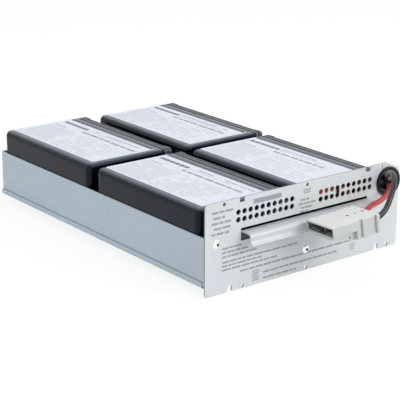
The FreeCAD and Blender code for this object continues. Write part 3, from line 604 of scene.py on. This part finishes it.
def print_rows_tree():
    """Rows of short plain bars of random lengths, with even gaps between them."""
    tree, given = begin_tree("print_rows", {
        "Rows": ("Int", 1), "Row Pitch": ("Float", 0.004), "Bars": ("Int", 6),
        "Bar Height": ("Float", 0.002), "Longest Bar": ("Float", 0.008),
        "Shortest Share": ("Float", 0.6), "Bar Gap": ("Float", 0.001),
        "Kept Share": ("Float", 1.0), "Film": ("Float", 0.0001), "Seed": ("Int", 1),
        "Ink": ("Material", None),
    })
    down = worked(tree, "MULTIPLY", given["Row Pitch"], -1.0)
    rows = add_node(tree, "GeometryNodeMeshLine", {
        "Count": given["Rows"], "Offset": vector(tree, Y=down)})
    row_of_points = add_node(tree, "GeometryNodeMeshLine", {
        "Count": given["Bars"], "Offset": (0, 0, 0)})
    spread = add_node(tree, "GeometryNodeInstanceOnPoints", {
        "Points": rows.outputs["Mesh"], "Instance": row_of_points.outputs["Mesh"]})
    points = add_node(tree, "GeometryNodeRealizeInstances", {
        "Geometry": spread.outputs["Instances"]})

    # Each bar's share of the longest one. Sockets 2 and 3 are the node's plain number range.
    share_node = add_node(tree, "FunctionNodeRandomValue", {
        2: given["Shortest Share"], 3: 1.0, "Seed": given["Seed"]})
    length_share = share_node.outputs[1]
    bar_and_gap = worked(tree, "MULTIPLY_ADD", length_share, given["Longest Bar"],
                         given["Bar Gap"])
    point_number = tree.nodes.new("GeometryNodeInputIndex").outputs[0]
    row_number = worked(tree, "FLOOR", worked(tree, "DIVIDE", point_number, given["Bars"]))
    so_far = add_node(tree, "GeometryNodeAccumulateField", {
        "Value": bar_and_gap, "Group ID": row_number})
    laid = add_node(tree, "GeometryNodeSetPosition", {
        "Geometry": points.outputs["Geometry"],
        "Offset": vector(tree, X=so_far.outputs["Trailing"])})

    kept = tree.nodes.new("FunctionNodeRandomValue")
    kept.data_type = "BOOLEAN"
    feed(tree, kept.inputs["Probability"], given["Kept Share"])
    feed(tree, kept.inputs["Seed"], given["Seed"])
    bars = add_node(tree, "GeometryNodeInstanceOnPoints", {
        "Points": laid.outputs["Geometry"], "Selection": kept.outputs[3],
        "Instance": thin_bar(tree, given), "Scale": vector(tree, X=length_share, Y=1.0, Z=1.0)})
    return end_tree(tree, bars.outputs["Instances"], given["Ink"])


def bar_row(start, length, height, longest, ink_name, seed, rows=1, row_pitch=4.0, kept=1.0,
            shortest=0.35, gap=None):
    """One block of print: where it starts, how long its rows are and its longest bar.
    Millimetres; the shortest bar and the kept bars are shares."""
    gap = gap or GAP_SHARE * height
    average = longest * (1 + shortest) / 2
    bars = max(1, round((length + gap) / (average + gap)))
    return {
        "start": start,
        "sizes": {
            "Rows": rows, "Row Pitch": row_pitch / 1000, "Bars": bars, "Bar Gap": gap / 1000,
            "Bar Height": height / 1000, "Longest Bar": longest / 1000,
            "Shortest Share": shortest, "Kept Share": kept, "Film": PRINT_FILM, "Seed": seed,
            "Ink": finishes[ink_name],
        },
    }


def solid_bar(start, length, height, ink_name, rows=1, row_pitch=4.0):
    """One unbroken bar, or a stack of them."""
    return bar_row(start, length, height, length, ink_name, seed=1, rows=rows,
                   row_pitch=row_pitch, shortest=1.0)


def print_piece(name, blocks, to_surface):
    """All the print of one face, as one mesh laid on it."""
    merged = bmesh.new()
    inks = []
    for number, block in enumerate(blocks):
        mesh = grow(PRINT_ROWS, block["sizes"], "%s_%d" % (name, number))
        x, y = block["start"]
        mesh.transform(to_surface @ Matrix.Translation((x / 1000, y / 1000, -PRINT_FILM / 2)))
        colour = block["sizes"]["Ink"]
        if colour not in inks:
            inks.append(colour)
        before = len(merged.faces)
        merged.from_mesh(mesh)
        merged.faces.ensure_lookup_table()
        for face in merged.faces[before:]:
            face.material_index = inks.index(colour)
        bpy.data.meshes.remove(mesh)
    joined = bpy.data.meshes.new(name)
    merged.to_mesh(joined)
    merged.free()
    for colour in inks:
        joined.materials.append(colour)
    add_piece(name, joined)


def paragraph(x, top, pitch, widths, height, longest, first_seed, centred=False):
    """Rows of panel print below each other, each as wide as given, from x or centred on it."""
    return [bar_row((x - width / 2 if centred else x, top - pitch * row), width, height, longest,
                    "panel_ink", seed=first_seed + row) for row, width in enumerate(widths)]


def panel_blocks():
    """Plain bars on the panel, in millimetres from its middle and its bottom edge."""
    return [
        solid_bar((-60.5, 74.6), 31.0, 4.2, "panel_ink"),
        *paragraph(-95.0, 72.4, 4.65, (19.0, 16.0, 20.0, 15.0, 19.5), height=1.9, longest=9.0,
                   first_seed=11, centred=True),
        solid_bar((-4.6, 74.2), 8.0, 0.8, "panel_ink", rows=3, row_pitch=1.5),
        *paragraph(-1.2, 65.4, 3.6, (13.0, 18.0, 12.0, 14.0), height=1.5, longest=8.0,
                   first_seed=31, centred=True),
        *paragraph(-93.7, 39.6, 3.7, (19.2, 30.1, 39.0), height=1.6, longest=9.0, first_seed=41),
        *paragraph(-93.6, 27.4, 3.4, (79.5, 52.6, 52.4), height=1.6, longest=10.0, first_seed=51),
        bar_row((-74.0, 16.0), 136.0, 1.7, 11.0, "panel_ink", seed=61),
        bar_row((-48.7, 9.3), 93.5, 1.6, 10.0, "panel_ink", seed=62),
        bar_row((-48.5, 3.9), 34.0, 1.6, 8.0, "panel_ink", seed=63),
        solid_bar((-60.8, 12.6), 7.6, 1.0, "panel_ink", rows=5, row_pitch=2.1),
        solid_bar((52.5, 12.4), 6.6, 0.7, "panel_ink", rows=4, row_pitch=1.7),
    ]


def label_blocks(seed):
    """Plain bars on a label: rows run from the battery's rear end to its front end."""
    return [
        # Painted shade and painted reflection along the label's lid-side edge, laid as two bars.
        solid_bar((-146.8, 78.6), 139.6, 1.4, "painted_rim_shade"),
        solid_bar((-146.8, 76.5), 139.6, 2.6, "painted_rim_sheen"),
        bar_row((-142.6, 66.6), 39.5, 4.2, 7.0, "label_ink", seed, shortest=0.8, gap=0.7),
        bar_row((-99.5, 58.4), 79.0, 3.2, 15.0, "soft_ink", seed + 1),
        bar_row((-98.0, 68.8), 72.0, 1.5, 11.0, "soft_ink", seed + 2, kept=0.9),
        bar_row((-98.0, 65.2), 70.0, 1.4, 10.0, "faint_ink", seed + 3),
        bar_row((-141.0, 54.2), 20.5, 1.4, 8.0, "soft_ink", seed + 4),
        bar_row((-143.0, 49.5), 45.0, 1.2, 9.0, "faint_ink", seed + 5, rows=13, row_pitch=3.1,
                kept=0.94),
        bar_row((-86.5, 49.5), 62.0, 1.1, 10.0, "faint_ink", seed + 6, rows=11, row_pitch=3.6,
                kept=0.7),
    ]


# ---------------------------------------------------------------- rivets and bushing
STUB_MIDDLE = 0.0001         # in front of the panel's face
FINGER_START = 0.0026        # behind the panel's face
FINGER_LEAN = 0.16           # towards the hole's middle, as a share of the finger's length


def rivet_stubs_tree():
    """The broken end of each rivet's mandrel: a short plug, near-black as painted shade of the
    rivet's core, that tapers to its face.
    """
    tree, given = begin_tree("rivet_stubs", {
        "Places": ("Object", None), "Radius": ("Float", 0.00125), "Rim": ("Float", 0.0002),
        "Length": ("Float", 0.0016), "Finish": ("Material", None)})
    places = add_node(tree, "GeometryNodeObjectInfo", {"Object": given["Places"]})
    plug = add_node(tree, "GeometryNodeMeshCone", {
        "Vertices": 32, "Side Segments": 3,
        "Radius Top": worked(tree, "SUBTRACT", given["Radius"], given["Rim"]),
        "Radius Bottom": given["Radius"], "Depth": given["Length"]})
    facing_front = add_node(tree, "GeometryNodeTransform", {
        "Geometry": plug.outputs["Mesh"], "Rotation": (math.radians(90), 0, 0)})
    placed = add_node(tree, "GeometryNodeInstanceOnPoints", {
        "Points": places.outputs["Geometry"], "Instance": facing_front.outputs["Geometry"]})
    return end_tree(tree, placed.outputs["Instances"], given["Finish"])


def add_rivet_stubs():
    """A stub sits inside each rivet's core, just below the dome's top."""
    spots = bpy.data.meshes.new("rivet_places")
    spots.from_pydata([(x, PANEL_FACE - STUB_MIDDLE, z) for x, z in RIVET_PLACES], [], [])
    holder = bpy.data.objects.new("rivet_places", spots)
    bpy.context.scene.collection.objects.link(holder)
    mesh = grow(rivet_stubs_tree(), {
        "Places": holder, "Radius": 0.00125, "Rim": 0.0002, "Length": 0.0016,
        "Finish": finishes["rivet_stub"]}, "rivet_stubs")
    bpy.data.objects.remove(holder)
    add_piece("rivet_stubs", mesh)


def bushing_fingers_tree():
    """Snap fingers round part of a ring: thick curved strips that lean inwards to the rear."""
    tree, given = begin_tree("bushing_fingers", {
        "Fingers": ("Int", 6), "Ring Radius": ("Float", 0.0078), "First Angle": ("Float", -1.0),
        "Step Angle": ("Float", 0.5), "Finger Width": ("Float", 0.0034),
        "Finger Length": ("Float", 0.006), "Finger Sheet": ("Float", 0.0012),
        "Finish": ("Material", None)})
    pivots = add_node(tree, "GeometryNodeMeshLine", {
        "Count": given["Fingers"], "Offset": (0, 0, 0)})
    number = tree.nodes.new("GeometryNodeInputIndex").outputs[0]
    angle = worked(tree, "MULTIPLY_ADD", number, given["Step Angle"], given["First Angle"])

    strip = add_node(tree, "GeometryNodeMeshCube", {
        "Size": vector(tree, X=given["Finger Sheet"], Y=given["Finger Length"],
                       Z=given["Finger Width"]),
        "Vertices Y": 5, "Vertices Z": 3})
    position = tree.nodes.new("GeometryNodeInputPosition").outputs[0]
    place = add_node(tree, "ShaderNodeSeparateXYZ", {0: position}).outputs
    width_squared = worked(tree, "MULTIPLY", place["Z"], place["Z"])
    twice_sag = worked(tree, "DIVIDE", width_squared, given["Ring Radius"])
    inward = worked(tree, "ADD", worked(tree, "MULTIPLY", twice_sag, -0.5),
                    worked(tree, "MULTIPLY", place["Y"], -FINGER_LEAN))
    outward = worked(tree, "ADD", inward, given["Ring Radius"])
    half_length = worked(tree, "MULTIPLY", given["Finger Length"], 0.5)
    curved = add_node(tree, "GeometryNodeSetPosition", {
        "Geometry": strip.outputs["Mesh"], "Offset": vector(tree, X=outward, Y=half_length)})
    ring = add_node(tree, "GeometryNodeInstanceOnPoints", {
        "Points": pivots.outputs["Mesh"], "Instance": curved.outputs["Geometry"],
        "Rotation": vector(tree, Y=angle)})
    return end_tree(tree, ring.outputs["Instances"], given["Finish"])


def add_bushing_fingers():
    """The fingers behind the cable hole, left out where the leads turn away behind the panel."""
    mesh = grow(bushing_fingers_tree(), {
        "Fingers": 7, "Ring Radius": 0.0084, "First Angle": -1.3, "Step Angle": 0.45,
        "Finger Width": 0.0037, "Finger Length": 0.0095, "Finger Sheet": 0.0013,
        "Finish": finishes["bushing_inside"]}, "bushing_fingers")
    x, z = BUSHING_CENTRE
    mesh.transform(Matrix.Translation((x, PANEL_FACE + FINGER_START, z)))
    add_piece("bushing_fingers", mesh)


# ---------------------------------------------------------------- leads
def lay_lead(name, route, finish, cad_node):
    """A free lead as a smooth line through its route's control points."""
    curve = bpy.data.curves.new(name, "CURVE")
    curve.dimensions = "3D"
    curve.resolution_u = 24
    curve.bevel_depth = LEAD_DIAMETER / 2
    curve.bevel_resolution = 6
    spline = curve.splines.new("NURBS")
    spline.points.add(len(route) - 1)
    for point, place in zip(spline.points, route):
        point.co = (*place, 1)
    spline.order_u = 3
    spline.use_endpoint_u = True
    lead = bpy.data.objects.new(name, curve)
    bpy.context.scene.collection.objects.link(lead)
    curve.materials.append(finish)
    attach(lead, "root")
    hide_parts(cad_node)
    return lead


add_camera()
add_studio()
finishes = make_finishes()
PRINT_ROWS = print_rows_tree()

red_lead = lay_lead("red_lead_insulation", RED_ROUTE, finishes["red_insulation"], "red_lead")
black_lead = lay_lead("black_lead_insulation", BLACK_ROUTE, finishes["black_insulation"],
                      "black_lead")

add_rivet_stubs()
add_bushing_fingers()
panel_axes = Matrix(((1, 0, 0, 0), (0, 0, -1, PANEL_FACE), (0, 1, 0, 0), (0, 0, 0, 1)))
print_piece("panel_print", panel_blocks(), panel_axes)
for number, (place, (left, front)) in enumerate(BATTERY_CORNERS.items()):
    label_axes = Matrix(((0, 1, 0, left), (-1, 0, 0, front), (0, 0, 1, LABEL_FACE), (0, 0, 0, 1)))
    print_piece("label_print_" + place, label_blocks(seed=100 + 10 * number), label_axes)

FINISH_OF = {
    "base_pan": "pan_sheet", "side_wall": "zinc_sheet", "front_panel": "panel_sheet",
    "panel_rivets": "rivet_metal", "grommet": "black_plastic", "cable_tie": "black_plastic",
    "terminal_receptacles": "clear_sleeve", "left_link_wire": "black_insulation",
    "right_link_wire": "black_insulation", "rear_link_wire": "black_insulation",
    "red_inner_lead": "inner_red_insulation", "black_inner_lead": "black_insulation",
    "red_lead": "red_insulation", "black_lead": "black_insulation",
    "connector_housing": "connector_plastic", "connector_contacts": "tin_plate",
}
BATTERY_FINISH = {           # by the last part of a node's name, as in battery_1_case
    "case": "case_plastic", "lid": "lid_plastic", "vent_cover": "lid_plastic",
    "terminals": "tin_plate", "label": "label_film",
}
for name, node in cad_nodes.items():
    key = FINISH_OF.get(name) or BATTERY_FINISH[name.split("_", 2)[2]]
    node.data.materials.clear()
    node.data.materials.append(finishes[key])
